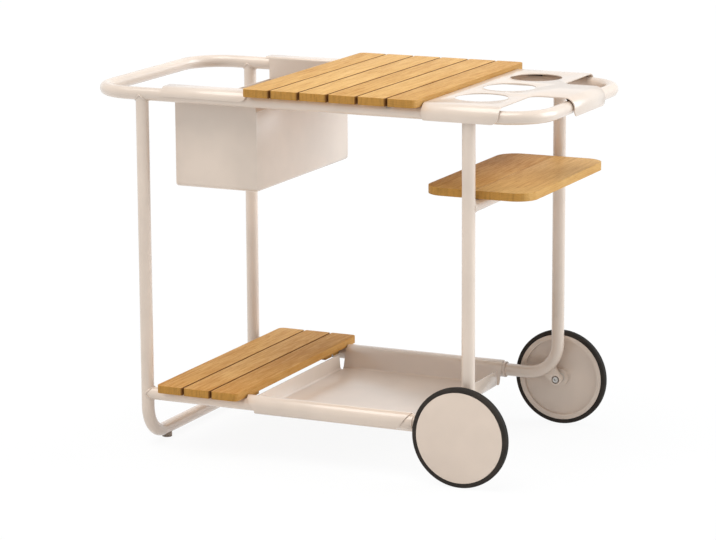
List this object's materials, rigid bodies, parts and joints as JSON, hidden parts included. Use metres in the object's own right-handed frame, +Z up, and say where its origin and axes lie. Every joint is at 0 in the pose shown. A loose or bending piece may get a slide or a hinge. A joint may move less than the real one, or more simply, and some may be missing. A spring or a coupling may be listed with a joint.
{
  "type": "garden drinks trolley",
  "caption": "Tube-frame serving trolley on two disc wheels, with slatted top and lower deck, hanging bucket, panel with round cup holes, side shelf and low tray.",
  "frame": {"origin": "on the floor, under the middle of the overall box", "axes": "+X along the trolley towards the wheels, +Y across it towards the back, +Z up"},
  "size_m": [1.0656, 0.606, 0.8093],
  "materials": {
    "powder_coat": "fine-textured matt powder coat, warm beige",
    "wheel_plastic": "matt, coloured to match the frame",
    "tyre_rubber": "solid matt rubber",
    "pad_rubber": "soft matt pads",
    "glide_nylon": "moulded nylon",
    "bush_nylon": "moulded nylon",
    "steel": "stainless fasteners",
    "teak": "sanded, oiled hardwood",
    "teak_batten": "planed hardwood"
  },
  "bodies": {
    "frame": {"top_rail": "powder_coat", "left_leg_frame": "powder_coat", "front_side_frame": "powder_coat", "back_side_frame": "powder_coat", "shelf_cross_tube": "powder_coat", "axle_boss_front": "powder_coat", "axle_boss_back": "powder_coat", "axle_bolt_front": "steel", "axle_bolt_back": "steel", "hub_spacer_front": "steel", "hub_spacer_back": "steel", "glide_front": "glide_nylon", "glide_back": "glide_nylon", "tray_stop_front": "wheel_plastic", "tray_stop_back": "wheel_plastic", "shelf_board_left": "teak", "shelf_board_right": "teak", "shelf_screws": "steel", "axle_nut_front": "steel", "axle_nut_back": "steel"},
    "front_wheel": {"wheel_front": "wheel_plastic", "tyre_front": "tyre_rubber", "wheel_cover_front": "wheel_plastic", "hub_bushes_front": "bush_nylon"},
    "back_wheel": {"wheel_back": "wheel_plastic", "tyre_back": "tyre_rubber", "wheel_cover_back": "wheel_plastic", "hub_bushes_back": "bush_nylon"},
    "slatted_top": {"top_slat_1": "teak", "top_slat_2": "teak", "top_slat_3": "teak", "top_slat_4": "teak", "top_slat_5": "teak", "top_slat_6": "teak", "top_batten_front": "teak_batten", "top_batten_back": "teak_batten", "top_slat_screws": "steel"},
    "lower_deck": {"lower_slat_1": "teak", "lower_slat_2": "teak", "lower_slat_3": "teak", "lower_batten_front": "teak_batten", "lower_batten_back": "teak_batten", "lower_slat_screws": "steel"},
    "bucket_body": {"bucket": "powder_coat", "bucket_pads": "pad_rubber"},
    "cup_panel_body": {"cup_panel": "powder_coat", "cup_panel_pads": "pad_rubber"},
    "tray_body": {"tray": "powder_coat", "tray_pads": "pad_rubber"}
  },
  "joints": [
    {"name": "front_wheel_spin", "type": "hinge", "parent": "frame", "child": "front_wheel", "pos_m": [0.36125, -0.288, 0.107], "axis": [0, 1, 0], "continuous": true},
    {"name": "back_wheel_spin", "type": "hinge", "parent": "frame", "child": "back_wheel", "pos_m": [0.36125, 0.288, 0.107], "axis": [0, 1, 0], "continuous": true},
    {"name": "bucket_lift", "type": "slide", "parent": "frame", "child": "bucket_body", "axis": [0, 0, 1], "range_m": [0, 0.25]},
    {"name": "slatted_top_lift", "type": "slide", "parent": "frame", "child": "slatted_top", "axis": [0, 0, 1], "range_m": [0, 0.15]},
    {"name": "cup_panel_lift", "type": "slide", "parent": "frame", "child": "cup_panel_body", "axis": [0, 0, 1], "range_m": [0, 0.1]},
    {"name": "tray_lift", "type": "slide", "parent": "frame", "child": "tray_body", "axis": [0, 0, 1], "range_m": [0, 0.25]},
    {"name": "lower_deck_lift", "type": "slide", "parent": "frame", "child": "lower_deck", "axis": [0, 0, 1], "range_m": [0, 0.15]}
  ]
}
